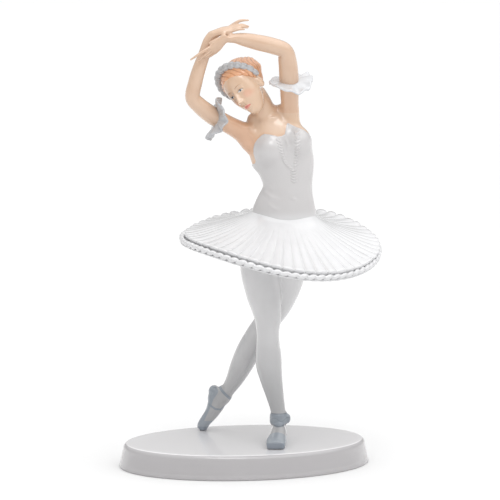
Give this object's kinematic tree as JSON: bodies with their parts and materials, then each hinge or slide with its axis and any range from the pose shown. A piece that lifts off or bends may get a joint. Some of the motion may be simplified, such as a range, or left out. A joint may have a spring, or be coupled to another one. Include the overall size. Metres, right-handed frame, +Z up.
{
  "type": "ballerina figurine",
  "caption": "Glazed porcelain figurine of a ballerina in a pleated tutu, arms crossed above the head, on an oval plinth.",
  "frame": {"origin": "centre of the plinth's underside", "axes": "+Z up towards the raised hands, X along the plinth's long axis, the dancer faces -Y turned 11 degrees towards -X"},
  "size_m": [0.1374, 0.1039, 0.2336],
  "materials": {
    "figure_glaze": "gloss glaze over painted porcelain",
    "plinth_glaze": "gloss glaze"
  },
  "bodies": {
    "root": {"figure": "figure_glaze", "plinth": "plinth_glaze"}
  },
  "joints": []
}
